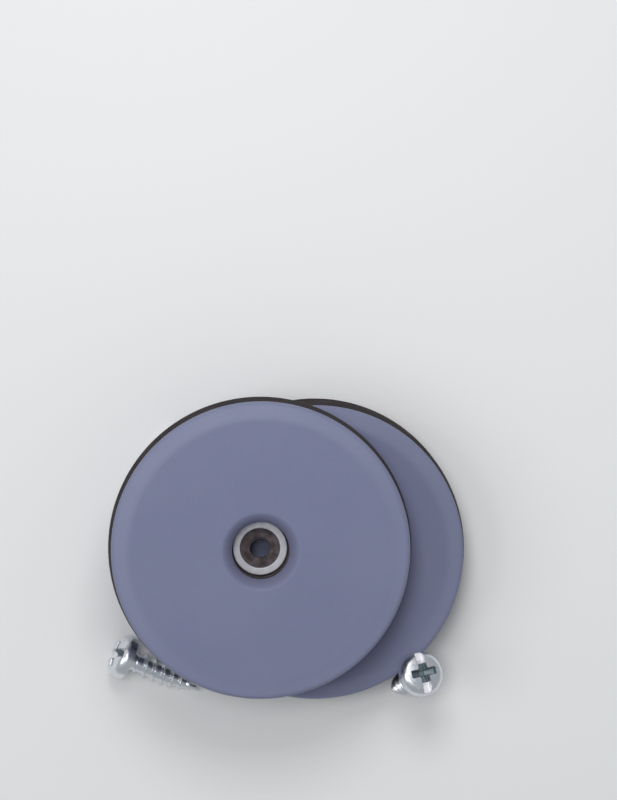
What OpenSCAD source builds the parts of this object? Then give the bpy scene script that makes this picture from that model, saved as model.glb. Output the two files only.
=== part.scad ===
// Screw-on furniture sliders: a set of four round sliders and four screws, lying on a flat surface.
// Each slider is a low-friction sole bonded over a rubber core, with a steel washer in its screw recess.
// The bottom two sliders lie sole up, the next is turned over, and the top one lies sole up on its back.
// Sizes are millimetres and angles are degrees; +Z is up and the surface is at z = 0.

/* [Slider] */
// Diameter of the sliding sole
sole_d = 50; // [40:0.5:70]
// Height of one slider
slider_h = 6; // [5.5:0.1:9]
// How far the core's back edge stands out past the sole
flare = 0.4; // [0.2:0.05:1]
// Height of the sole's wrapped side, measured down from the face
sole_side = 2.5; // [2.3:0.1:3]
// Thickness of the sole's material
sole_t = 1.2; // [0.8:0.05:1.6]
// Radius of the sole's rounded edge
edge_r = 1.1; // [0.6:0.05:1.5]
// Width of the sloping band inside the edge
roll_w = 2.8; // [2:0.1:5]
// Slope of that band
roll_slope = 14; // [8:1:20]
// Radius where the flat face turns down into the band
roll_r = 4; // [2:0.5:6]
// How far the core stands back from the sole where the two meet at the side
core_inset = 0.1; // [0.05:0.05:0.3]
// Bevel round the core's back edge
back_bevel = 0.3; // [0.1:0.05:0.6]

/* [Screw recess] */
// Diameter of the flared mouth on the sole's face
mouth_d = 13; // [12:0.1:16]
// Slope of the mouth where it meets the face
mouth_slope = 25; // [0:1:35]
// Diameter of the recess below the mouth
recess_d = 9.6; // [9.2:0.1:11]
// Wall of the sole's turned-in lip
lip_t = 1; // [0.6:0.05:1.4]
// Gap round the washer in the recess
washer_gap = 0.25; // [0.05:0.05:0.4]
// Inside diameter of the washer
washer_bore = 6.7; // [5.5:0.1:7]
// Thickness of the washer
washer_t = 0.8; // [0.5:0.05:1.2]
// Bevel on the washer's edges
washer_bevel = 0.1; // [0.05:0.05:0.2]
// Thickness of the core's web under the washer
web_t = 0.5; // [0.4:0.05:1]
// Gap round the screw's plain neck in the web's hole
hole_gap = 0.1; // [0.05:0.05:0.4]

/* [Screw] */
// Length of the screw under its head
screw_l = 14; // [10:0.1:18]
// Diameter of the pan head
head_d = 7.5; // [7:0.1:8.5]
// Height of the pan head
head_h = 2.6; // [2.2:0.1:3.2]
// Height of the head's upright rim
rim_h = 0.9; // [0.5:0.05:1.2]
// Bevel under the head's edge
rim_bevel = 0.1; // [0.05:0.05:0.3]
// Radius of the head's rounded shoulder
shoulder_r = 1.5; // [1:0.05:1.6]
// Diameter over the thread
thread_d = 4; // [3.5:0.1:4.6]
// Diameter at the thread's root
root_d = 2.9; // [2.5:0.1:3.2]
// Diameter of the plain neck under the head
neck_d = 3.3; // [3.2:0.1:3.5]
// Length of the plain neck under the head
neck_l = 1; // [0.6:0.1:2]
// Distance from one turn of the thread to the next
pitch = 1.7; // [1.1:0.05:2]
// Length of the tapered point
point_l = 6; // [3:0.1:8]
// Width of the slot across the head
slot_w = 1.2; // [0.8:0.05:1.5]
// Depth of the slot
slot_depth = 1; // [0.6:0.05:1.3]
// Width of the cross recess's wings
cross_w = 1; // [0.7:0.05:1.3]
// Span of the cross recess
cross_span = 4.2; // [3.4:0.1:4.8]
// Depth of the cross recess's wings
cross_depth = 1.3; // [0.8:0.05:1.5]
// Depth of the cross recess at its middle
cross_deep = 1.8; // [1.5:0.05:2]

/* [Stack] */
// How far the upper two sliders stand to the left of the lower two
upper_left = 9.7; // [6:0.1:12]
// How far the upper two sliders stand behind the lower two
upper_back = 1.8; // [0:0.1:4]
// Small sideways step between the two sliders of a pair, to the left going up
step_left = 0.1; // [0:0.05:0.5]
// Small step between the two sliders of a pair, towards the back going up
step_back = 0.3; // [0:0.05:1.5]

/* [Loose screws] */
// Bearing of the leaning screw round the lower sliders
lean_at = -46; // [-70:1:-30]
// Gap between the leaning screw and the sliders' edge
lean_gap = 0.15; // [0.1:0.05:2]
// Lean of that screw towards the sliders
lean_in = 3; // [0:0.5:8]
// Lean of that screw along the edge
lean_side = 25; // [0:0.5:30]
// Turn of the leaning screw about its own axis
lean_spin = 148; // [0:1:180]
// How far the front screw's point lies to the right of the tucked screw
front_right = 10; // [8:0.1:12]
// How far the front screw's point lies behind the lower sliders' front edge
front_in = 0.7; // [0:0.1:4]
// Direction from the front screw's point to its head
front_to = 154; // [145:1:180]
// Turn of the front screw about its own axis
front_spin = 20; // [0:1:180]
// Gap between the heads of the tucked and hidden screws and the lower sliders' edge
tuck_gap = 0.4; // [0.3:0.05:1]
// How far the tucked screw's point lies behind the front screw's head
tuck_behind = 1; // [0.7:0.1:4]
// Turn of the tucked screw about its own axis
tuck_spin = 65; // [0:1:180]
// How far the hidden screw's head lies behind the tucked screw's head
hide_behind = 2.7; // [2:0.1:6]
// Direction from the hidden screw's head to its point
hide_to = 70; // [60:1:90]
// Turn of the hidden screw about its own axis
hide_spin = 130; // [0:1:180]

/* [Hidden] */
sole_r = sole_d / 2;
core_r = sole_r + flare;
mouth_r = mouth_d / 2;
recess_r = recess_d / 2;
mouth_w = mouth_r - recess_r;
lip_z = slider_h - mouth_w;
side_z = slider_h - sole_side;
under_z = slider_h - sole_t;
inner_r = sole_r - sole_t;
lip_out = recess_r + lip_t;
hole_r = neck_d / 2 + hole_gap;
head_r = head_d / 2;
thread_top = screw_l - neck_l;
screw_top = screw_l + head_h;
run_out = pitch;
turn_steps = 16;
ridge_w = min(0.8 * pitch, 1.3 * (thread_d - root_d) / 2 + 0.1);
root_flat = pitch - ridge_w;
thread_start = 0.35;
thread_steps = round((thread_top - thread_start - 0.3 * pitch) / pitch * turn_steps);

// The mouth is as deep as it is wide: an arc from its slope at the face to the same slope off the upright.
mouth_r_arc = mouth_w * sqrt(2) / 2 / sin(45 - mouth_slope);
mouth_x = mouth_r + mouth_r_arc * sin(mouth_slope);
mouth_z = slider_h - mouth_r_arc * cos(mouth_slope);

// The face turns down into the band through one arc, and the band into the side through another.
band_x = sole_r - roll_w;
fall_x = band_x - roll_r * tan(roll_slope / 2);
fall_z = slider_h - roll_r;
fall_low = fall_z + roll_r * cos(roll_slope);
edge_x = sole_r - edge_r;
edge_z = slider_h - tan(roll_slope) * (roll_w - edge_r) - edge_r / cos(roll_slope);
edge_top = edge_z + edge_r * cos(roll_slope);

// Radius of a slider's outline at a height above its back, and zero above its face.
function outline_at(z) =
    z >= slider_h ? 0
    : z >= fall_low ? fall_x + sqrt(pow(roll_r, 2) - pow(z - fall_z, 2))
    : z >= edge_top ? band_x + (slider_h - z) / tan(roll_slope)
    : z >= edge_z ? edge_x + sqrt(pow(edge_r, 2) - pow(z - edge_z, 2))
    : z >= side_z ? sole_r
    : core_r;

// A screw on its side touches the surface with the edge under its head and with one turn of its thread.
lie_rim = screw_l + rim_bevel;
lie_slope = min([for (a = [0 : 0.1 : thread_top]) (head_r - crest_at(a)) / (lie_rim - a)]);
lie_tilt = atan(lie_slope);
lie_rise = (head_r - lie_rim * lie_slope) * cos(lie_tilt);
lie_head = screw_l * cos(lie_tilt);
lie_reach = screw_top * cos(lie_tilt);

// Where each slider stands: left-right, front-back, height of its lowest face.
bottom_at = [0, 0, 0];
middle_at = bottom_at + [-step_left, step_back, slider_h];
turned_at = middle_at + [-upper_left, upper_back, slider_h];
top_at = turned_at + [-step_left, step_back, slider_h];

// The leaning screw stands as near as its thread and the edge under its head let it.
lean_shift = -screw_top * tan(lean_side);
lean_rim = [for (a = [0 : 10 : 350], edge = [[head_r - rim_bevel, 0], [head_r, rim_bevel]])
    lean_turn([edge.x * cos(a), edge.x * sin(a), screw_l + edge.y])];
lean_head_r = max([for (p = lean_rim)
    let (r = outline_at(p.z - slider_h) + lean_gap, aside = p.y + lean_shift)
    sqrt(max(0, r * r - aside * aside)) - p.x]);
lean_tip_r = max(lean_head_r, core_r + thread_d / 2 + lean_gap);
lean_tip = [middle_at.x, middle_at.y, 0] + lean_tip_r * [cos(lean_at), sin(lean_at), 0]
    + lean_shift * [-sin(lean_at), cos(lean_at), 0];

// The other screws lie one behind the other along the left of the lower sliders.
tuck_r = core_r + tuck_gap + head_r;
front_tip = [front_right - tuck_r, front_in - core_r, 0];
front_back = front_tip.y + lie_head * sin(front_to) - head_r * cos(front_to);
tuck_y = front_back + tuck_behind;
tuck_tip = [-sqrt(pow(tuck_r, 2) - pow(tuck_y + lie_head, 2)), tuck_y, 0];
hide_y = tuck_y + lie_reach + hide_behind + head_r * cos(hide_to);
hide_tip = [-sqrt(pow(tuck_r, 2) - pow(hide_y, 2)), hide_y, 0]
    + lie_reach * [cos(hide_to), sin(hide_to), 0];

$fn = 96;

// Points along a circular arc.
function arc(cx, cy, r, from, to, n) =
    [for (i = [0 : n]) [cx + r * cos(from + (to - from) * i / n), cy + r * sin(from + (to - from) * i / n)]];

// A point of the leaning screw turned by its lean: outwards, along the edge, up.
function lean_turn(p) =
    let (
        along = p.y * cos(lean_side) + p.z * sin(lean_side),
        up = p.z * cos(lean_side) - p.y * sin(lean_side)
    )
    [p.x * cos(lean_in) - up * sin(lean_in), along, p.x * sin(lean_in) + up * cos(lean_in)];

// The line that sole and core share, from the outer side to the recess.
shared_line = [
    [inner_r, side_z],
    [inner_r, under_z],
    [lip_out, under_z],
    [lip_out, lip_z],
    [recess_r, lip_z]
];

module sole() {
    color("SlateGray")
    rotate_extrude()
    polygon(concat(
        arc(mouth_x, mouth_z, mouth_r_arc, 180 - mouth_slope, 90 + mouth_slope, 8),
        arc(fall_x, fall_z, roll_r, 90, 90 - roll_slope, 4),
        arc(edge_x, edge_z, edge_r, 90 - roll_slope, 0, 8),
        [[sole_r, side_z]],
        [for (i = [0 : 3]) shared_line[i]]
    ));
}

module core() {
    color("#262628")
    rotate_extrude()
    polygon(concat(
        [[hole_r, 0],
        [core_r - back_bevel, 0],
        [core_r, back_bevel],
        [sole_r - core_inset, side_z]],
        shared_line,
        [[recess_r, web_t],
        [hole_r, web_t]]
    ));
}

module washer() {
    inside = washer_bore / 2;
    outside = recess_r - washer_gap;
    color("Silver")
    translate([0, 0, web_t])
    rotate_extrude()
    polygon([
        [inside, washer_bevel],
        [inside + washer_bevel, 0],
        [outside - washer_bevel, 0],
        [outside, washer_bevel],
        [outside, washer_t - washer_bevel],
        [outside - washer_bevel, washer_t],
        [inside + washer_bevel, washer_t],
        [inside, washer_t - washer_bevel]
    ]);
}

// Radius of the thread's root and crest at a height above the point.
function root_at(z) = root_d / 2 * pow(min(1, z / point_l), 0.85);
function crest_at(z) =
    root_at(z) + 0.06 + ((thread_d - root_d) / 2 - 0.06)
    * min(1, z / (0.75 * point_l)) * max(0, min(1, (thread_top - z) / run_out));
function thread_point(step, rise, radius) =
    [radius * cos(360 * step / turn_steps), radius * sin(360 * step / turn_steps), rise];
function step_z(step) = thread_start + pitch * step / turn_steps;

// The thread is one closed surface: along each step a flat root, a rising flank and a falling flank,
// and the falling flank ends on the root of the next turn. A point closes it below, the neck hides its end.
module thread() {
    n = thread_steps;
    s = turn_steps;
    roots = [for (k = [0 : n + s]) thread_point(k, step_z(k), root_at(step_z(k)))];
    feet = [for (k = [0 : n])
        let (z = step_z(k) + root_flat) thread_point(k, z, root_at(z) + 0.01)];
    crests = [for (k = [0 : n])
        let (z = step_z(k) + root_flat + ridge_w / 2) thread_point(k, z, crest_at(z))];
    foot = n + s + 1;
    crest = foot + n + 1;
    tip = crest + n + 1;
    end = tip + 1;
    sides = [for (k = [0 : n - 1]) each [
        [k, foot + k, foot + k + 1],
        [k, foot + k + 1, k + 1],
        [foot + k, crest + k, crest + k + 1],
        [foot + k, crest + k + 1, foot + k + 1],
        [crest + k, k + s, k + s + 1],
        [crest + k, k + s + 1, crest + k + 1]
    ]];
    below = [for (k = [0 : s - 1]) [tip, k, k + 1]];
    below_seam = [[tip, foot, 0], [tip, crest, foot], [tip, s, crest]];
    above = [for (k = [n : n + s - 1]) [end, k + 1, k]];
    above_seam = [[end, n, foot + n], [end, foot + n, crest + n], [end, crest + n, n + s]];
    polyhedron(
        points = concat(roots, feet, crests, [[0, 0, 0], [0, 0, step_z(n) + pitch / 2]]),
        faces = concat(sides, below, below_seam, above, above_seam)
    );
}

// The pan head and neck as one turned piece.
module head() {
    shoulder_x = head_r - shoulder_r;
    shoulder_z = screw_l + rim_h;
    dome_x = shoulder_x + shoulder_r * cos(66);
    dome_z = shoulder_z + shoulder_r * sin(66);
    rotate_extrude()
    polygon(concat(
        [[0, thread_top],
        [neck_d / 2, thread_top],
        [neck_d / 2, screw_l],
        [head_r - rim_bevel, screw_l],
        [head_r, screw_l + rim_bevel]],
        arc(shoulder_x, shoulder_z, shoulder_r, 0, 66, 6),
        [for (i = [3 : -1 : 0]) let (f = i / 4) [dome_x * f, screw_top - (screw_top - dome_z) * f * f]]
    ));
}

// A slot right across the head, with a cross recess in its middle.
module drive() {
    translate([0, 0, screw_top]) {
        translate([-head_d, -slot_w / 2, -slot_depth]) cube([2 * head_d, slot_w, slot_depth + 1]);
        translate([-cross_w / 2, -cross_span / 2, -cross_depth]) cube([cross_w, cross_span, cross_depth + 1]);
        translate([-cross_span / 2, -cross_w / 2, -cross_depth]) cube([cross_span, cross_w, cross_depth + 1]);
        translate([0, 0, -cross_deep]) cylinder(h = cross_deep + 0.2, r1 = 0.45, r2 = 0.62 * cross_span / 2);
    }
}

module screw() {
    color("Gainsboro")
    union() {
        difference() {
            head();
            drive();
        }
        thread();
    }
}

// A screw on its side, with its point at one place and its head in a given direction.
module lying_screw(tip, to, spin) {
    translate(tip + [0, 0, lie_rise]) rotate([0, 90 - lie_tilt, to]) rotate([0, 0, spin]) screw();
}

module top_sole() { translate(top_at) sole(); }
module top_core() { translate(top_at) core(); }
module top_washer() { translate(top_at) washer(); }

// The turned slider lies sole down, so its own height is mirrored by half a turn about the X axis.
module turn_over() { translate(turned_at + [0, 0, slider_h]) rotate([180, 0, 0]) children(); }
module turned_sole() { turn_over() sole(); }
module turned_core() { turn_over() core(); }
module turned_washer() { turn_over() washer(); }

module middle_sole() { translate(middle_at) sole(); }
module middle_core() { translate(middle_at) core(); }
module middle_washer() { translate(middle_at) washer(); }

module bottom_sole() { translate(bottom_at) sole(); }
module bottom_core() { translate(bottom_at) core(); }
module bottom_washer() { translate(bottom_at) washer(); }

module leaning_screw() {
    translate(lean_tip) rotate([0, 0, lean_at]) rotate([-lean_side, -lean_in, 0])
        rotate([0, 0, lean_spin]) screw();
}
module front_screw() { lying_screw(front_tip, front_to, front_spin); }
module tucked_screw() { lying_screw(tuck_tip, 90, tuck_spin); }
module hidden_screw() { lying_screw(hide_tip, hide_to + 180, hide_spin); }

top_sole();
top_core();
top_washer();
turned_sole();
turned_core();
turned_washer();
middle_sole();
middle_core();
middle_washer();
bottom_sole();
bottom_core();
bottom_washer();
leaning_screw();
front_screw();
tucked_screw();
hidden_screw();
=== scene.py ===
"""Looks of a set of screw-on furniture sliders: four round sliders in a loose stack and four loose screws.

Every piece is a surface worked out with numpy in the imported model's own frame, in metres, and takes the
place of the solid of the same name. A slider is a waxy sole, a rubber core and a washer, all turned
shapes. A screw is one grid from its point to the middle of its head.
"""

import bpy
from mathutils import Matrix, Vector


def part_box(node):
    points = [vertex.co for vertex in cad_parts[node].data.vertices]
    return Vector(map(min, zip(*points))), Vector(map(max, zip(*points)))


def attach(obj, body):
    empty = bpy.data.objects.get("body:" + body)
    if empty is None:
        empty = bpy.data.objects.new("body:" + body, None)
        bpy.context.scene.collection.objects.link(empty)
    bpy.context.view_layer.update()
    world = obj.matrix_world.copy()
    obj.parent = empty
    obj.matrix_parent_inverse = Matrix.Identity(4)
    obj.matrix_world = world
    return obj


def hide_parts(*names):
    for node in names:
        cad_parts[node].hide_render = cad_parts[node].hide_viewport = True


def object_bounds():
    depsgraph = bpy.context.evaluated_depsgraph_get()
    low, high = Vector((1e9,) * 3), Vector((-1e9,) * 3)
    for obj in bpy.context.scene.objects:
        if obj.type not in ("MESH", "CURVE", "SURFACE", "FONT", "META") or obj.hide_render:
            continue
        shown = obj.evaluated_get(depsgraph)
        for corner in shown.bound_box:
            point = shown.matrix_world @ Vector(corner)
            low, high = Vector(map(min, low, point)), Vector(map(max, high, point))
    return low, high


bl_info = {
    "name": "Furniture Sliders",
    "version": (1, 0, 0),
    "blender": (4, 5, 0),
    "location": "View3D > Sidebar > Sliders",
    "description": "Builds the soles, cores, washers and screws of a set of furniture sliders",
    "category": "Object",
}

from math import cos, pi, radians, sin, sqrt, tan

import bpy
import numpy as np
from mathutils import Matrix, Vector

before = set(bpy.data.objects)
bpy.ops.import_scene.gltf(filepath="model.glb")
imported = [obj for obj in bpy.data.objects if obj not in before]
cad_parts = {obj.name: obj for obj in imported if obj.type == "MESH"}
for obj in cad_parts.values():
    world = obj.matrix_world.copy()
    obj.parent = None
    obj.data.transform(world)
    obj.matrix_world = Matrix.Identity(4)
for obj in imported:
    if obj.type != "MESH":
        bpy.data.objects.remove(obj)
cad_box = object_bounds()

MM = 0.001
SLIDERS = ("bottom", "middle", "turned", "top")
UPSIDE_DOWN = ("turned",)
SHARP_ANGLE = radians(38)
FLOOR_GAP = 0.02 * MM
SENSOR_W = 36.0

# How finely the surfaces are divided
ROUND_STEPS = 256
SCREW_STEPS = 192
SHANK_ROWS = 176
DOME_ROWS = 74
THREAD_SAMPLES = 118
REPEAT_GAP = 1e-7

# Small forms that no setting changes
FOOT_R = 0.15 * MM
WEB_R = 0.15 * MM
THREAD_START = 0.35 * MM
LOW_RIDGE = 0.06 * MM
POINT_SWELL = 0.85
RIDGE_GROWN = 0.75
FLANK_OVERSHOOT = 1.12
HEAD_FILLET = 0.1 * MM
DOME_FROM = radians(66)
RECESS_WALL = radians(80)
RECESS_EDGE = 0.015 * MM
DOME_EDGE = 0.012 * MM


def length(label, text, millimetres):
    """A size in metres, given in millimetres."""
    return bpy.props.FloatProperty(
        name=label, description=text, default=millimetres * MM, min=0.0, precision=5, unit="LENGTH"
    )


def angle(label, text, degrees):
    """An angle, given in degrees."""
    return bpy.props.FloatProperty(
        name=label, description=text, default=radians(degrees), subtype="ANGLE", unit="ROTATION"
    )


def tint(label, text, rgb):
    """A colour in linear light."""
    return bpy.props.FloatVectorProperty(
        name=label, description=text, default=rgb, size=3, min=0.0, max=1.0, subtype="COLOR"
    )


def share(label, text, value):
    """A number from 0 to 1."""
    return bpy.props.FloatProperty(
        name=label, description=text, default=value, min=0.0, max=1.0, subtype="FACTOR"
    )


def place(label, text, millimetres):
    """A point in metres, given in millimetres."""
    return bpy.props.FloatVectorProperty(
        name=label, description=text, default=[v * MM for v in millimetres], size=3, subtype="TRANSLATION"
    )


def power(label, text, watts):
    """The power of a lamp."""
    return bpy.props.FloatProperty(
        name=label, description=text, default=watts, min=0.0, subtype="POWER", unit="POWER"
    )


class SliderSizes(bpy.types.PropertyGroup):
    """Sizes of one slider."""

    sole_d: length("Sole diameter", "Diameter of the sliding sole", 50)
    slider_h: length("Height", "Height of one slider", 6)
    flare: length("Flare", "How far the core's back edge stands out past the sole", 0.4)
    sole_side: length("Sole side", "Height of the sole's wrapped side", 2.5)
    sole_t: length("Sole thickness", "Thickness of the sole's material", 1.2)
    edge_r: length("Edge radius", "Radius of the sole's rounded edge", 1.1)
    roll_w: length("Band width", "Width of the sloping band inside the edge", 2.8)
    roll_slope: angle("Band slope", "Slope of that band", 14)
    roll_r: length("Band turn", "Radius where the flat face turns down into the band", 4)
    core_inset: length("Core inset", "How far the core stands back where it meets the sole", 0.1)
    back_bevel: length("Back bevel", "Rounding of the core's back edge", 0.3)
    mouth_d: length("Mouth", "Diameter of the flared mouth on the face", 13)
    mouth_slope: angle("Mouth slope", "Slope of the mouth where it meets the face", 25)
    mouth_soft: length("Mouth rounding", "Radius that softens the line round the mouth", 0.8)
    recess_d: length("Recess", "Diameter of the recess below the mouth", 9.6)
    lip_t: length("Lip", "Wall of the sole's turned-in lip", 1.0)
    web_t: length("Web", "Thickness of the core's web under the washer", 0.5)
    hole_d: length("Hole", "Diameter of the screw hole in the web", 3.5)
    washer_d: length("Washer", "Outside diameter of the washer", 9.1)
    washer_bore: length("Washer bore", "Inside diameter of the washer", 6.7)
    washer_t: length("Washer thickness", "Thickness of the washer", 0.8)
    washer_edge: length("Washer edge", "Rounding of the washer's punched edge", 0.14)
    wave: length("Wave", "Depth of the moulded face's slight unevenness", 0.02)


class ScrewSizes(bpy.types.PropertyGroup):
    """Sizes of one screw and the way each one lies."""

    screw_l: length("Length", "Length under the head", 14)
    head_d: length("Head", "Diameter of the pan head", 7.5)
    head_h: length("Head height", "Height of the pan head", 2.6)
    rim_h: length("Rim", "Height of the head's upright rim", 0.9)
    rim_bevel: length("Rim bevel", "Bevel under the head's edge", 0.1)
    shoulder_r: length("Shoulder", "Radius of the head's rounded shoulder", 1.5)
    thread_d: length("Thread", "Diameter over the thread", 4)
    root_d: length("Root", "Diameter at the thread's root", 2.9)
    neck_d: length("Neck", "Diameter of the plain neck under the head", 3.3)
    neck_l: length("Neck length", "Length of the plain neck", 1)
    pitch: length("Pitch", "Distance from one turn of the thread to the next", 1.7)
    point_l: length("Point", "Length of the tapered point", 6)
    slot_w: length("Slot", "Width of the slot across the head", 1.2)
    slot_depth: length("Slot depth", "Depth of the slot", 1)
    cross_w: length("Cross", "Width of the cross recess's wings", 1)
    cross_span: length("Cross span", "Span of the cross recess", 4.2)
    cross_depth: length("Cross depth", "Depth of the wings", 1.3)
    cross_deep: length("Cross middle", "Depth of the cross recess at its middle", 1.8)
    lean_at: angle("Lean bearing", "Bearing of the leaning screw round the lower sliders", -46)
    lean_in: angle("Lean in", "Lean of that screw towards the sliders", 3)
    lean_side: angle("Lean aside", "Lean of that screw along the edge", 25)
    lean_spin: angle("Leaning turn", "Turn of the leaning screw about its own axis", 148)
    front_to: angle("Front direction", "Direction from the front screw's point to its head", 154)
    front_spin: angle("Front turn", "Turn of the front screw about its own axis", 20)
    tuck_to: angle("Tucked direction", "Direction from the tucked screw's point to its head", 90)
    tuck_spin: angle("Tucked turn", "Turn of the tucked screw about its own axis", 65)
    hide_to: angle("Hidden direction", "Direction from the hidden screw's point to its head", 250)
    hide_spin: angle("Hidden turn", "Turn of the hidden screw about its own axis", 130)


class Finishes(bpy.types.PropertyGroup):
    """Colours of the four finishes."""

    sole: tint("Sole", "Blue-grey plastic", (0.162, 0.176, 0.280))
    # Paler colour for random clouds and specks, and for painted sheen on the sloping band and the rounded
    # edge.
    sole_pale_tone_and_sheen: tint("Sole, pale", "The same plastic where it is rubbed", (0.205, 0.22, 0.33))
    # Painted shade: the sole's colour darkened inside the mouth.
    sole_painted_shade: tint(
        "Sole, deep", "The same plastic drawn thin over the black core in the mouth", (0.15, 0.157, 0.244)
    )
    core: tint("Core", "Black rubber", (0.032, 0.025, 0.028))
    # Painted highlight along the back edge and painted light inside the recess, broken up by noise patches.
    core_painted_light: tint("Core, dusty", "The rubber where it is rubbed or dusty", (0.13, 0.105, 0.112))
    washer: tint("Washer", "Dull zinc", (0.52, 0.515, 0.565))
    screw: tint("Screw", "Bright zinc", (0.80, 0.81, 0.83))
    screw_blue: tint("Screw, blue", "The bluish cast of its plating", (0.66, 0.73, 0.82))
    # Painted shade: the plating darkened inside the cross recess.
    screw_painted_shade: tint("Screw, deep", "The dull plating inside its cross recess", (0.23, 0.28, 0.31))
    # Painted highlight: the plating lightened on the slot's floor.
    screw_painted_highlight: tint("Screw, pale", "The plating on the milled floor of its slot", (0.93, 0.92, 0.94))
    floor: tint("Floor", "Pale studio floor", (0.80, 0.80, 0.80))
    sky: tint("Sky", "Soft light from all round", (0.93, 0.96, 1.0))


class StageSettings(bpy.types.PropertyGroup):
    """The camera and the lamps."""

    camera_at: place("Camera", "Where the camera stands", (-45.7, 129.5, 917.2))
    camera_aim: place("Aim", "The point at the middle of the picture", (-1.93, 27.63, 22.2))
    lens: bpy.props.FloatProperty(
        name="Lens", description="Focal length on a 36 mm sensor, in millimetres", default=244.0, min=1.0
    )
    sky_light: share("Sky light", "Strength of the light from all round", 0.40)
    key_at: place("Key place", "Where the main soft lamp hangs", (-16, 168, 262))
    key_power: power("Key power", "Power of the main lamp", 0.30)
    key_size: length("Key size", "Width of the main lamp", 110)
    side_at: place("Side place", "Where the lamp on the left hangs", (-600, 50, 700))
    side_power: power("Side power", "Power of the lamp on the left", 1.4)
    side_size: length("Side size", "Width of the lamp on the left", 400)
    over_at: place("Overhead place", "Where the lamp over the set hangs", (-160, 190, 1000))
    over_power: power("Overhead power", "Power of the lamp over the set", 2.1)
    over_size: length("Overhead size", "Width of the lamp over the set", 240)
    floor_w: length("Floor", "Width of the floor", 3000)


# Surfaces


def arc(cx, cz, r, start, end, steps):
    """Points on a circle about (cx, cz) from one angle to another."""
    turn = np.linspace(start, end, steps + 1)
    return np.column_stack((cx + r * np.cos(turn), cz + r * np.sin(turn)))


def run(start, end, steps):
    """Points along a straight line from start to end."""
    along = np.linspace(0.0, 1.0, steps + 1)[:, None]
    return (1.0 - along) * np.asarray(start, float) + along * np.asarray(end, float)


def chain(*stretches):
    """Stretches of an outline joined into one closed loop, without points that repeat."""
    points = np.vstack(stretches)
    gap = np.linalg.norm(points - np.roll(points, 1, axis=0), axis=1)
    return points[gap > REPEAT_GAP]


def smooth_step(low, high, values):
    """0 below low, 1 above high and a smooth rise between."""
    t = np.clip((values - low) / (high - low), 0.0, 1.0)
    return t * t * (3.0 - 2.0 * t)


def turned_grid(outline):
    """The outline's points (r, z) carried round the Z axis: x = r cos a, y = r sin a, z = z."""
    turn = np.linspace(0.0, 2.0 * pi, ROUND_STEPS, endpoint=False)
    radius, height = outline[:, :1], outline[:, 1:]
    x = radius * np.cos(turn)
    y = radius * np.sin(turn)
    z = height + 0.0 * turn
    return x, y, z, turn


def ring_faces(rows, columns):
    """Four-sided faces of a grid that closes on itself both ways."""
    first = np.arange(rows * columns).reshape(rows, columns)
    right = np.roll(first, -1, axis=1)
    above = np.roll(first, -1, axis=0)
    across = np.roll(right, -1, axis=0)
    return np.stack((first, right, across, above), axis=-1).reshape(-1, 4)


def point_volume(points, faces):
    """Volume inside a closed surface, negative if its faces point inwards."""
    a, b, c = (points[faces[:, k]] for k in range(3))
    total = np.einsum("ij,ij->i", a, np.cross(b, c)).sum()
    if faces.shape[1] == 4:
        d = points[faces[:, 3]]
        total += np.einsum("ij,ij->i", a, np.cross(c, d)).sum()
    return total


def make_piece(name, points, faces, fans, finish, values):
    """A smooth mesh object from points, four-sided faces and triangles, with named values per point."""
    if point_volume(points, faces) + point_volume(points, fans) < 0.0:
        faces = faces[:, ::-1]
        fans = fans[:, ::-1]
    mesh = bpy.data.meshes.new(name)
    mesh.from_pydata(points.tolist(), [], faces.tolist() + fans.tolist())
    for key, numbers in values.items():
        layer = mesh.attributes.new(key, "FLOAT", "POINT")
        layer.data.foreach_set("value", np.ascontiguousarray(numbers, dtype=np.float32).ravel())
    mesh.validate()
    mesh.shade_smooth()
    mesh.set_sharp_from_angle(angle=SHARP_ANGLE)
    mesh.materials.append(finish)
    piece = bpy.data.objects.new(name, mesh)
    bpy.context.scene.collection.objects.link(piece)
    return piece


def settle(piece, node, body):
    """The piece stands for a solid, whose own mesh is hidden, and moves with its body."""
    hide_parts(node)
    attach(piece, body)


def slider_place(name):
    """Middle of a slider's lowest face, from its core's box."""
    low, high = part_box(f"{name}_core")
    sole_low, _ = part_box(f"{name}_sole")
    return np.array(((low.x + high.x) / 2.0, (low.y + high.y) / 2.0, min(low.z, sole_low.z)))


def stand(x, y, z, name, height):
    """A slider's grid at its place, turned over about X where that slider lies face down."""
    if name in UPSIDE_DOWN:
        y = -y
        z = height - z
    return np.stack((x, y, z), axis=-1).reshape(-1, 3) + slider_place(name)


def slider_piece(context, name, part, outline, finish, change=None, values=None):
    """One turned piece of a slider, made from its outline and put in the place of its solid."""
    x, y, z, turn = turned_grid(outline)
    if change is not None:
        x, y, z = change(x, y, z, turn)
    points = stand(x, y, z, name, context.scene.slider_sizes.slider_h)
    radius = np.hypot(x, y)
    numbers = {"from_axis": radius}
    if values is not None:
        numbers.update(values(radius, z))
    no_fans = np.zeros((0, 3), int)
    piece = make_piece(f"{part}.{name}", points, ring_faces(*x.shape), no_fans, finish, numbers)
    settle(piece, f"{name}_{part}", f"{name}_slider")


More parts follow.
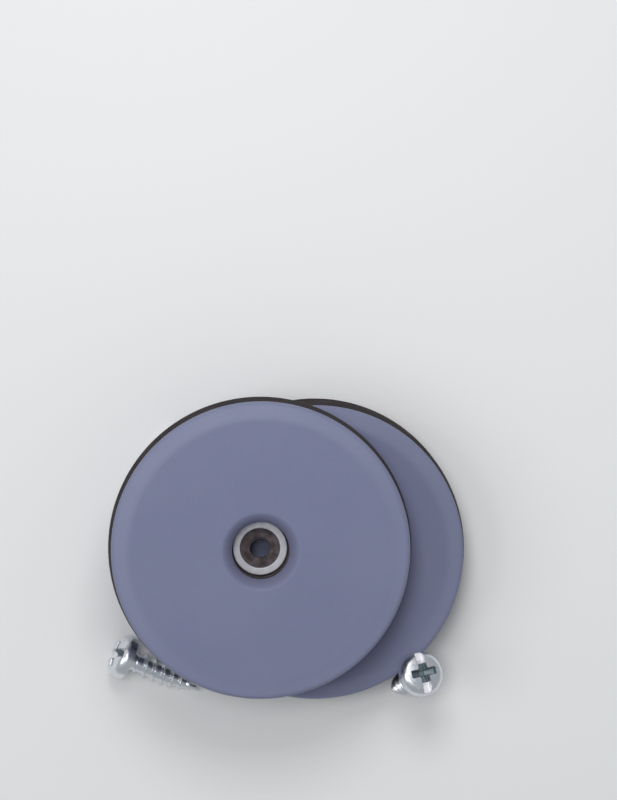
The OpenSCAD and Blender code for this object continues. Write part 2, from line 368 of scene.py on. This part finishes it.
def sole_outline(s):
    """Half of the sole cut through its middle: the mouth's flare, the flat face, the sloping band, the
    rounded edge, the straight side, and back along the under side to the lip."""
    top = s.slider_h
    sole_r = s.sole_d / 2.0
    mouth_r = s.mouth_d / 2.0
    mouth_w = mouth_r - s.recess_d / 2.0
    flare_r = mouth_w / sqrt(2.0) / sin(pi / 4.0 - s.mouth_slope)
    soft_w = s.mouth_soft * tan(s.mouth_slope / 2.0)
    upright = pi / 2.0
    fall_x = sole_r - s.roll_w - s.roll_r * tan(s.roll_slope / 2.0)
    edge_x = sole_r - s.edge_r
    edge_z = top - tan(s.roll_slope) * (s.roll_w - s.edge_r) - s.edge_r / cos(s.roll_slope)
    lip_z = top - mouth_w
    side_z = top - s.sole_side
    under_z = top - s.sole_t
    inner_r = sole_r - s.sole_t
    lip_out = s.recess_d / 2.0 + s.lip_t
    band_from = arc(fall_x, top - s.roll_r, s.roll_r, upright, upright - s.roll_slope, 10)
    edge = arc(edge_x, edge_z, s.edge_r, upright - s.roll_slope, 0.0, 20)
    return chain(
        arc(
            mouth_r + flare_r * sin(s.mouth_slope), top - flare_r * cos(s.mouth_slope), flare_r,
            pi - s.mouth_slope, upright + s.mouth_slope + soft_w / flare_r, 20,
        ),
        arc(mouth_r + soft_w, top - s.mouth_soft, s.mouth_soft, upright + s.mouth_slope, upright, 8),
        run((mouth_r + soft_w, top), (fall_x, top), 28),
        band_from,
        run(band_from[-1], edge[0], 6),
        edge,
        arc(sole_r - FOOT_R, side_z + FOOT_R, FOOT_R, 0.0, -upright, 5),
        run((inner_r, side_z), (inner_r, under_z), 2),
        run((lip_out, under_z), (lip_out, lip_z), 2),
    )


def core_outline(s):
    """Half of the core cut through its middle: the flat back, the rounded and flared back edge, the side up
    to the sole, the line that it shares with the sole, and down the recess to the web and its hole."""
    sole_r = s.sole_d / 2.0
    core_r = sole_r + s.flare
    lip_z = s.slider_h - (s.mouth_d - s.recess_d) / 2.0
    side_z = s.slider_h - s.sole_side
    under_z = s.slider_h - s.sole_t
    inner_r = sole_r - s.sole_t
    recess_r = s.recess_d / 2.0
    lip_out = recess_r + s.lip_t
    round_r = s.back_bevel
    hole_r = s.hole_d / 2.0
    return chain(
        run((hole_r, 0.0), (core_r - round_r, 0.0), 20),
        arc(core_r - round_r, round_r, round_r, -pi / 2.0, 0.0, 8),
        run((core_r, round_r), (sole_r - s.core_inset, side_z), 10),
        run((inner_r, side_z), (inner_r, under_z), 2),
        run((lip_out, under_z), (lip_out, lip_z), 2),
        run((recess_r, lip_z), (recess_r, s.web_t), 10),
        run((recess_r, s.web_t), (hole_r + WEB_R, s.web_t), 8),
        arc(hole_r + WEB_R, s.web_t - WEB_R, WEB_R, pi / 2.0, pi, 5),
    )


def washer_outline(s):
    """A washer's wall cut through: a rectangle with its four corners rounded."""
    inside = s.washer_bore / 2.0
    outside = s.washer_d / 2.0
    low = s.web_t
    high = s.web_t + s.washer_t
    r = s.washer_edge
    return chain(
        run((inside + r, low), (outside - r, low), 4),
        arc(outside - r, low + r, r, -pi / 2.0, 0.0, 6),
        arc(outside - r, high - r, r, 0.0, pi / 2.0, 6),
        run((outside - r, high), (inside + r, high), 8),
        arc(inside + r, high - r, r, pi / 2.0, pi, 6),
        arc(inside + r, low + r, r, pi, 1.5 * pi, 6),
    )


# The screw's surface


def root_at(z, s):
    """Radius of the thread's root: a point that swells with a power of the height, then straight."""
    return s.root_d / 2.0 * np.clip(z / s.point_l, 0.0, 1.0) ** POINT_SWELL


def crest_at(z, s):
    """Radius of the thread's crest: the root and a ridge that grows out of the point and fades at the
    neck."""
    ridge_h = (s.thread_d - s.root_d) / 2.0
    thread_top = s.screw_l - s.neck_l
    grown = np.clip(z / (RIDGE_GROWN * s.point_l), 0.0, 1.0)
    fade = np.clip((thread_top - z) / s.pitch, 0.0, 1.0)
    return root_at(z, s) + LOW_RIDGE + (ridge_h - LOW_RIDGE) * grown * fade


def thread_radius(z, turn, s):
    """Radius of the shank: the root, a flat-flanked ridge that climbs one pitch a turn, and the plain
    neck."""
    ridge_h = (s.thread_d - s.root_d) / 2.0
    ridge_w = min(0.8 * s.pitch, 1.3 * ridge_h + 0.1 * MM)
    phase = ((z - THREAD_START) / s.pitch - turn / (2.0 * pi)) % 1.0
    middle = 1.0 - 0.5 * ridge_w / s.pitch
    off = np.abs(phase - middle)
    off = np.minimum(off, 1.0 - off) * s.pitch
    ridge = np.clip(FLANK_OVERSHOOT * (1.0 - off / (0.5 * ridge_w)), 0.0, 1.0)
    thread = root_at(z, s) + (crest_at(z, s) - root_at(z, s)) * ridge
    thread_top = s.screw_l - s.neck_l
    neck = smooth_step(thread_top - 0.3 * MM, thread_top + 0.1 * MM, z)
    return thread + neck * (s.neck_d / 2.0 - thread)


def soft_min(a, b, blend):
    """The smaller of two heights, blended over a short way so that the edge between them is rounded."""
    return -blend * np.logaddexp(-a / blend, -b / blend)


def recess_floor(x, y, s):
    """Height of the drive recess over the head: a slot along X, two crossed wings that slope down to the
    middle and narrow towards it, and a cone between them, all with steep walls."""
    top = s.screw_l + s.head_h
    steep = tan(RECESS_WALL)
    rise = steep * np.maximum(0.0, np.abs(y) - s.slot_w / 2.0)
    floor = top - s.slot_depth + rise
    from_axis = np.hypot(x, y)
    half = s.cross_span / 2.0
    end_depth = 0.8 * s.cross_depth
    depth = s.cross_deep - (s.cross_deep - end_depth) * from_axis / half
    for along, across in ((x, y), (y, x)):
        width = s.cross_w * (0.62 + 0.38 * np.abs(along) / half)
        wall = np.maximum(0.0, np.abs(across) - width / 2.0) + np.maximum(0.0, np.abs(along) - half)
        floor = soft_min(floor, top - depth + steep * wall, RECESS_EDGE)
    cone_low = 0.45 * MM
    cone_high = 0.31 * s.cross_span
    cone_rise = s.cross_deep + 0.2 * MM
    cone = top - s.cross_deep + cone_rise * (from_axis - cone_low) / (cone_high - cone_low)
    return soft_min(floor, np.maximum(cone, top - s.cross_deep), RECESS_EDGE)


def screw_grid(s):
    """Rows of points from the screw's point up its threaded shank, out under the head, up its rim and over
    its domed top, where each height is the lower of the dome's and the drive recess's."""
    turn = np.linspace(0.0, 2.0 * pi, SCREW_STEPS, endpoint=False)
    head_r = s.head_d / 2.0
    top = s.screw_l + s.head_h
    shank_z = np.linspace(0.0, s.screw_l - HEAD_FILLET, SHANK_ROWS)[1:, None]
    blunt_point = smooth_step(-0.1 * MM, 0.12 * MM, shank_z)
    shank_r = thread_radius(shank_z, turn, s) * blunt_point
    shoulder_x = head_r - s.shoulder_r
    shoulder_z = s.screw_l + s.rim_h
    dome_x = shoulder_x + s.shoulder_r * cos(DOME_FROM)
    dome_z = shoulder_z + s.shoulder_r * sin(DOME_FROM)
    fillet_x = s.neck_d / 2.0 + HEAD_FILLET
    outline = np.vstack((
        arc(fillet_x, s.screw_l - HEAD_FILLET, HEAD_FILLET, pi, pi / 2.0, 4),
        run((fillet_x, s.screw_l), (head_r - s.rim_bevel, s.screw_l), 5)[1:],
        arc(head_r - s.rim_bevel, s.screw_l + s.rim_bevel, s.rim_bevel, -pi / 2.0, 0.0, 4)[1:],
        run((head_r, s.screw_l + s.rim_bevel), (head_r, shoulder_z), 3)[1:],
        arc(shoulder_x, shoulder_z, s.shoulder_r, 0.0, DOME_FROM, 26)[1:],
    ))
    dome_r = np.linspace(dome_x, 0.0, DOME_ROWS)[1:-1]
    dome_top = top - (top - dome_z) * (dome_r / dome_x) ** 2
    outline = np.vstack((outline, np.column_stack((dome_r, dome_top))))
    radius = np.vstack((shank_r, outline[:, :1] + 0.0 * turn))
    height = np.vstack((shank_z + 0.0 * turn, outline[:, 1:] + 0.0 * turn))
    x = radius * np.cos(turn)
    y = radius * np.sin(turn)
    cut = np.where(height > shoulder_z, soft_min(height, recess_floor(x, y, s), DOME_EDGE), height)
    middle = float(recess_floor(np.zeros(1), np.zeros(1), s)[0])
    return x, y, cut, height - cut, middle


def recess_shades(points, cut, s):
    """How far each point lies in the cross recess, which gets painted shade, and on the slot's floor, which
    runs into it and gets a painted highlight: both are 0 on the dome, and the two add up to 1 far down in
    the cut."""
    below = smooth_step(0.05 * MM, 0.3 * MM, cut)
    # The painted highlight on the slot's floor starts this far from the axis.
    highlight_from = s.cross_span / 2.0 - 0.5 * MM
    on_slot = smooth_step(0.0, 0.15 * MM, np.abs(points[:, 0]) - highlight_from)
    return {"deep": below * (1.0 - on_slot), "painted_highlight": below * on_slot}


def screw_points(s):
    """The screw's points, four-sided faces, the triangles that close its point and the middle of its head,
    and how far each point is cut down from the dome."""
    x, y, z, cut, middle = screw_grid(s)
    rows, columns = x.shape
    points = np.stack((x, y, z), axis=-1).reshape(-1, 3)
    points = np.vstack((points, (0.0, 0.0, 0.0), (0.0, 0.0, middle)))
    first = np.arange(rows * columns).reshape(rows, columns)
    right = np.roll(first, -1, axis=1)
    faces = np.stack((first[:-1], right[:-1], right[1:], first[1:]), axis=-1).reshape(-1, 4)
    tip = np.full(columns, rows * columns)
    low = np.stack((tip, right[0], first[0]), axis=-1)
    high = np.stack((tip + 1, first[-1], right[-1]), axis=-1)
    depth = np.append(cut.ravel(), (0.0, s.screw_l + s.head_h - middle))
    return points, faces, np.vstack((low, high)), depth


def turn_x(a):
    """Matrix of a turn about X."""
    return np.array(((1, 0, 0), (0, cos(a), -sin(a)), (0, sin(a), cos(a))))


def turn_y(a):
    """Matrix of a turn about Y."""
    return np.array(((cos(a), 0, sin(a)), (0, 1, 0), (-sin(a), 0, cos(a))))


def turn_z(a):
    """Matrix of a turn about Z."""
    return np.array(((cos(a), -sin(a), 0), (sin(a), cos(a), 0), (0, 0, 1)))


def lie_tilt(s):
    """Slope of a screw on its side, which rests on the edge under its head and on one turn of its
    thread."""
    rim = s.screw_l + s.rim_bevel
    along = np.linspace(0.0, s.screw_l - s.neck_l, THREAD_SAMPLES)
    return np.arctan(((s.head_d / 2.0 - crest_at(along, s)) / (rim - along)).min())


def screw_turns(s):
    """How each screw is turned from standing on its point."""
    flat = pi / 2.0 - lie_tilt(s)
    lean = turn_z(s.lean_at) @ turn_y(-s.lean_in) @ turn_x(-s.lean_side) @ turn_z(s.lean_spin)
    lying = {
        "front": (s.front_to, s.front_spin),
        "tucked": (s.tuck_to, s.tuck_spin),
        "hidden": (s.hide_to, s.hide_spin),
    }
    turns = {name: turn_z(to) @ turn_y(flat) @ turn_z(spin) for name, (to, spin) in lying.items()}
    return {"leaning": lean, **turns}


def node_points(node):
    """The corner points of a solid, as an array."""
    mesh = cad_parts[node].data
    numbers = np.zeros(len(mesh.vertices) * 3, np.float32)
    mesh.vertices.foreach_get("co", numbers)
    return numbers.reshape(-1, 3).astype(float)


# Finishes


def start_finish(name):
    """A new material with its shader, its node tree and its Object coordinates."""
    material = bpy.data.materials.new(name)
    material.use_nodes = True
    tree = material.node_tree
    shader = tree.nodes["Principled BSDF"]
    where = tree.nodes.new("ShaderNodeTexCoord").outputs["Object"]
    return material, tree, shader, where


def add_noise(tree, where, scale, detail):
    """A noise over the surface, with scale in patches per metre."""
    node = tree.nodes.new("ShaderNodeTexNoise")
    node.inputs["Scale"].default_value = scale
    node.inputs["Detail"].default_value = detail
    tree.links.new(where, node.inputs["Vector"])
    return node.outputs["Fac"]


def add_range(tree, value, low, high, to_low, to_high):
    """A value carried from one range to another, and held inside it."""
    node = tree.nodes.new("ShaderNodeMapRange")
    tree.links.new(value, node.inputs["Value"])
    node.inputs["From Min"].default_value = low
    node.inputs["From Max"].default_value = high
    node.inputs["To Min"].default_value = to_low
    node.inputs["To Max"].default_value = to_high
    return node.outputs["Result"]


def add_sum(tree, a, b, kind="ADD"):
    """Two values joined by a sum or a product."""
    node = tree.nodes.new("ShaderNodeMath")
    node.operation = kind
    tree.links.new(a, node.inputs[0])
    tree.links.new(b, node.inputs[1])
    return node.outputs[0]


def add_mix(tree, amount, first, second):
    """Two colours mixed by an amount; each is a colour or the output of an earlier mix."""
    node = tree.nodes.new("ShaderNodeMix")
    node.data_type = "RGBA"
    tree.links.new(amount, node.inputs["Factor"])
    for socket, colour in zip((node.inputs[6], node.inputs[7]), (first, second)):
        if isinstance(colour, bpy.types.NodeSocket):
            tree.links.new(colour, socket)
        else:
            socket.default_value = (*colour, 1.0)
    return node.outputs[2]


def add_value(tree, name):
    """A value that the piece's own points hold."""
    node = tree.nodes.new("ShaderNodeAttribute")
    node.attribute_name = name
    return node.outputs["Fac"]


def add_bump(tree, shader, heights):
    """Bumps laid one over another; each height is a value and the depth that it stands for, in metres."""
    normal = None
    for height, depth in heights:
        node = tree.nodes.new("ShaderNodeBump")
        node.inputs["Distance"].default_value = depth
        tree.links.new(height, node.inputs["Height"])
        if normal is not None:
            tree.links.new(normal, node.inputs["Normal"])
        normal = node.outputs["Normal"]
    tree.links.new(normal, shader.inputs["Normal"])


def sole_finish(c):
    """Waxy satin plastic: faint clouds and specks in its colour, painted sheen that makes the edge paler,
    painted shade inside the mouth, and a fine grain.
    """
    material, tree, shader, where = start_finish("sole plastic")
    clouds = add_range(tree, add_noise(tree, where, 55.0, 4.0), 0.3, 0.7, 0.0, 0.30)
    specks = add_range(tree, add_noise(tree, where, 2600.0, 2.0), 0.55, 0.75, 0.0, 0.25)
    # Random clouds and specks, plus the painted sheen on the band and edge, move the colour towards the
    # paler one.
    amount = add_sum(tree, add_sum(tree, clouds, specks), add_value(tree, "pale"))
    face = add_mix(tree, amount, c.sole, c.sole_pale_tone_and_sheen)
    # Painted shade darkens the colour inside the mouth.
    tree.links.new(add_mix(tree, add_value(tree, "deep"), face, c.sole_painted_shade), shader.inputs["Base Color"])
    rough = add_range(tree, add_noise(tree, where, 180.0, 5.0), 0.3, 0.7, 0.48, 0.58)
    tree.links.new(rough, shader.inputs["Roughness"])
    shader.inputs["IOR"].default_value = 1.40
    shader.inputs["Specular IOR Level"].default_value = 0.3
    add_bump(tree, shader, (
        (add_noise(tree, where, 420.0, 3.0), 0.012 * MM),
        (add_noise(tree, where, 4200.0, 2.0), 0.006 * MM),
    ))
    return material


def core_finish(c):
    """Matt black rubber with a fine grain, a painted highlight that makes its back edge paler, and painted
    light that makes it paler inside the recess.
    """
    material, tree, shader, where = start_finish("core rubber")
    patch = add_range(tree, add_noise(tree, where, 700.0, 4.0), 0.35, 0.7, 0.15, 1.0)
    # The painted light mask, broken up by noise patches, lightens the rubber.
    amount = add_sum(tree, patch, add_value(tree, "rubbed"), "MULTIPLY")
    tree.links.new(add_mix(tree, amount, c.core, c.core_painted_light), shader.inputs["Base Color"])
    rough = add_range(tree, add_noise(tree, where, 260.0, 4.0), 0.3, 0.7, 0.72, 0.88)
    tree.links.new(rough, shader.inputs["Roughness"])
    shader.inputs["Specular IOR Level"].default_value = 0.15
    add_bump(tree, shader, (
        (add_noise(tree, where, 900.0, 3.0), 0.02 * MM),
        (add_noise(tree, where, 5200.0, 2.0), 0.01 * MM),
    ))
    return material


def washer_finish(c):
    """Dull zinc plate with faint rings left by punching and rolling."""
    material, tree, shader, where = start_finish("washer zinc")
    patch = add_range(tree, add_noise(tree, where, 900.0, 5.0), 0.3, 0.7, 0.0, 0.5)
    dark = tuple(0.72 * v for v in c.washer)
    tree.links.new(add_mix(tree, patch, c.washer, dark), shader.inputs["Base Color"])
    shader.inputs["Metallic"].default_value = 0.5
    rough = add_range(tree, add_noise(tree, where, 1500.0, 4.0), 0.3, 0.7, 0.48, 0.62)
    tree.links.new(rough, shader.inputs["Roughness"])
    rings = tree.nodes.new("ShaderNodeTexNoise")
    rings.noise_dimensions = "1D"
    rings.inputs["Scale"].default_value = 9000.0
    tree.links.new(add_value(tree, "from_axis"), rings.inputs["W"])
    add_bump(tree, shader, (
        (rings.outputs["Fac"], 0.006 * MM),
        (add_noise(tree, where, 3500.0, 3.0), 0.008 * MM),
    ))
    return material


def screw_finish(c):
    """Bright zinc plate with a faint bluish cast in patches and a slightly uneven gloss, rougher and
    darkened by painted shade in the cross recess, and rougher and lightened by a painted highlight on the
    slot's floor."""
    material, tree, shader, where = start_finish("screw zinc")
    patch = add_range(tree, add_noise(tree, where, 600.0, 4.0), 0.35, 0.7, 0.0, 0.7)
    # Painted shade in the cross recess and a painted highlight on the slot's floor, from values held by the
    # screw's points.
    deep = add_value(tree, "deep")
    painted_highlight = add_value(tree, "painted_highlight")
    plate = add_mix(tree, deep, add_mix(tree, patch, c.screw, c.screw_blue), c.screw_painted_shade)
    # The painted highlight lightens the slot's floor.
    tree.links.new(add_mix(tree, painted_highlight, plate, c.screw_painted_highlight), shader.inputs["Base Color"])
    shader.inputs["Metallic"].default_value = 1.0
    gloss = add_range(tree, add_noise(tree, where, 1300.0, 4.0), 0.3, 0.7, 0.26, 0.38)
    dull = add_range(tree, add_sum(tree, deep, painted_highlight), 0.0, 1.0, 0.0, 0.35)
    tree.links.new(add_sum(tree, gloss, dull), shader.inputs["Roughness"])
    add_bump(tree, shader, ((add_noise(tree, where, 2400.0, 3.0), 0.006 * MM),))
    return material


def floor_finish(c):
    """Pale studio paper with a very faint tone."""
    material, tree, shader, where = start_finish("studio floor")
    tone = add_range(tree, add_noise(tree, where, 4.0, 2.0), 0.3, 0.7, 0.0, 1.0)
    grey = tuple(0.985 * v for v in c.floor)
    tree.links.new(add_mix(tree, tone, c.floor, grey), shader.inputs["Base Color"])
    shader.inputs["Roughness"].default_value = 0.9
    shader.inputs["Specular IOR Level"].default_value = 0.1
    return material


# Operators


class SLIDER_OT_soles(bpy.types.Operator):
    """Add the four waxy soles."""

    bl_idname = "furniture_slider.soles"
    bl_label = "Add Soles"

    def execute(self, context):
        s = context.scene.slider_sizes
        finish = sole_finish(context.scene.slider_finishes)

        def uneven(x, y, z, turn):
            """The face dips by a slow wave round and across it, never above its true height."""
            radius = np.hypot(x, y)
            mouth_r = 0.5 * s.mouth_d
            on_face = smooth_step(mouth_r, mouth_r + 3.0 * MM, radius) * (z > s.slider_h - s.sole_t)
            broad = np.sin(2.0 * turn + 0.7 + 160.0 * radius)
            narrow = np.sin(3.0 * turn - 90.0 * radius)
            return x, y, z - s.wave * on_face * (0.5 + 0.25 * broad + 0.25 * narrow)

        def shades(radius, z):
            """Painted sheen makes the sloping band and the rounded edge paler, and painted shade makes the
            inside of the mouth darker.
            """
            band = smooth_step(-0.6 * MM, 0.9 * MM, radius - 0.5 * s.sole_d + s.roll_w)
            # Painted shade inside the mouth, fading out at its edge.
            mouth = 1.0 - smooth_step(-0.9 * MM, 0.0, radius - 0.5 * s.mouth_d)
            return {"pale": 0.6 * band, "deep": mouth}

        for name in SLIDERS:
            slider_piece(context, name, "sole", sole_outline(s), finish, uneven, shades)
        return {"FINISHED"}


class SLIDER_OT_cores(bpy.types.Operator):
    """Add the four rubber cores."""

    bl_idname = "furniture_slider.cores"
    bl_label = "Add Cores"

    def execute(self, context):
        s = context.scene.slider_sizes
        finish = core_finish(context.scene.slider_finishes)

        def rubbed(radius, z):
            """Painted highlight along the back edge, and painted light inside the recess."""
            edge = s.sole_d / 2.0 + s.flare
            # Painted highlight on the back edge.
            out = smooth_step(edge - 0.5 * MM, edge - 0.1 * MM, radius)
            back = out * (1.0 - smooth_step(0.25 * MM, 0.7 * MM, z))
            # Painted light lifts the black rubber inside the recess.
            inside = 1.0 - smooth_step(0.0, 0.1 * MM, radius - 0.5 * s.recess_d)
            return {"rubbed": np.maximum(back, inside)}

        for name in SLIDERS:
            slider_piece(context, name, "core", core_outline(s), finish, None, rubbed)
        return {"FINISHED"}


class SLIDER_OT_washers(bpy.types.Operator):
    """Add the four steel washers."""

    bl_idname = "furniture_slider.washers"
    bl_label = "Add Washers"

    def execute(self, context):
        s = context.scene.slider_sizes
        finish = washer_finish(context.scene.slider_finishes)
        for name in SLIDERS:
            slider_piece(context, name, "washer", washer_outline(s), finish)
        return {"FINISHED"}


class SLIDER_OT_screws(bpy.types.Operator):
    """Add the four loose screws."""

    bl_idname = "furniture_slider.screws"
    bl_label = "Add Screws"

    def execute(self, context):
        s = context.scene.screw_sizes
        finish = screw_finish(context.scene.slider_finishes)
        points, faces, fans, cut = screw_points(s)
        shades = recess_shades(points, cut, s)
        for name, turn in screw_turns(s).items():
            node = f"{name}_screw"
            solid = node_points(node)
            tip = solid[np.argmin(solid @ turn[:, 2])]
            piece = make_piece(f"screw.{name}", points @ turn.T + tip, faces, fans, finish, shades)
            settle(piece, node, f"{node}_body")
        return {"FINISHED"}


class SLIDER_OT_stage(bpy.types.Operator):
    """Add the floor, the lamps, the soft light from all round and the camera."""

    bl_idname = "furniture_slider.stage"
    bl_label = "Add Stage"

    def execute(self, context):
        scene = context.scene
        st = scene.slider_stage
        colours = scene.slider_finishes
        self.add_floor(scene, st, floor_finish(colours))
        self.add_lamp(scene, "key", st.key_at, st.key_power, st.key_size)
        self.add_lamp(scene, "side", st.side_at, st.side_power, st.side_size)
        self.add_lamp(scene, "overhead", st.over_at, st.over_power, st.over_size)
        self.add_sky(scene, colours.sky, st.sky_light)
        self.add_camera(scene, st)
        scene.view_settings.view_transform = "Standard"
        return {"FINISHED"}

    def add_floor(self, scene, st, finish):
        """A square just under the lowest point of the set."""
        half = st.floor_w / 2.0
        z = cad_box[0].z - FLOOR_GAP
        mesh = bpy.data.meshes.new("floor")
        corners = [(-half, -half, z), (half, -half, z), (half, half, z), (-half, half, z)]
        mesh.from_pydata(corners, [], [(0, 1, 2, 3)])
        mesh.materials.append(finish)
        floor = bpy.data.objects.new("floor", mesh)
        scene.collection.objects.link(floor)

    def add_lamp(self, scene, name, at, watts, size):
        """A square soft lamp that faces the set."""
        lamp = bpy.data.lights.new(name, "AREA")
        lamp.energy = watts
        lamp.size = size
        holder = bpy.data.objects.new(name, lamp)
        holder.location = at
        holder.rotation_euler = (-Vector(at)).to_track_quat("-Z", "Y").to_euler()
        scene.collection.objects.link(holder)

    def add_sky(self, scene, colour, strength):
        """Even light from all round."""
        scene.world = bpy.data.worlds.new("soft light")
        scene.world.use_nodes = True
        sky = scene.world.node_tree.nodes["Background"]
        sky.inputs["Color"].default_value = (*colour, 1.0)
        sky.inputs["Strength"].default_value = strength

    def add_camera(self, scene, st):
        """A long lens above the set, a little to the left and behind, with the picture's top towards +Y."""
        lens = bpy.data.cameras.new("camera")
        lens.lens = st.lens
        lens.sensor_width = SENSOR_W
        lens.clip_start = 0.01
        lens.clip_end = 20.0
        camera = bpy.data.objects.new("camera", lens)
        back = (Vector(st.camera_at) - Vector(st.camera_aim)).normalized()
        right = Vector((0.0, 1.0, 0.0)).cross(back).normalized()
        up = back.cross(right)
        camera.rotation_euler = Matrix((right, up, back)).transposed().to_euler()
        camera.location = st.camera_at
        scene.collection.objects.link(camera)
        scene.camera = camera


class SLIDER_PT_panel(bpy.types.Panel):
    """Lists the sizes, the finishes and the steps."""

    bl_label = "Furniture Sliders"
    bl_idname = "SLIDER_PT_panel"
    bl_space_type = "VIEW_3D"
    bl_region_type = "UI"
    bl_category = "Sliders"

    def draw(self, context):
        scene = context.scene
        for step in STEPS:
            self.layout.operator(step.bl_idname)
        for group in (scene.slider_sizes, scene.screw_sizes, scene.slider_finishes, scene.slider_stage):
            box = self.layout.box()
            for key in group.__annotations__:
                box.prop(group, key)


STEPS = (SLIDER_OT_soles, SLIDER_OT_cores, SLIDER_OT_washers, SLIDER_OT_screws, SLIDER_OT_stage)
GROUPS = {
    "slider_sizes": SliderSizes,
    "screw_sizes": ScrewSizes,
    "slider_finishes": Finishes,
    "slider_stage": StageSettings,
}


def register():
    """Make the settings, the steps and the panel known."""
    for item in (*GROUPS.values(), *STEPS, SLIDER_PT_panel):
        bpy.utils.register_class(item)
    for key, group in GROUPS.items():
        setattr(bpy.types.Scene, key, bpy.props.PointerProperty(type=group))


def unregister():
    """Take them away again."""
    for key in GROUPS:
        delattr(bpy.types.Scene, key)
    for item in reversed((*GROUPS.values(), *STEPS, SLIDER_PT_panel)):
        bpy.utils.unregister_class(item)


def main():
    """Run every step in order."""
    register()
    bpy.ops.furniture_slider.soles()
    bpy.ops.furniture_slider.cores()
    bpy.ops.furniture_slider.washers()
    bpy.ops.furniture_slider.screws()
    bpy.ops.furniture_slider.stage()


if __name__ == "__main__":
    main()
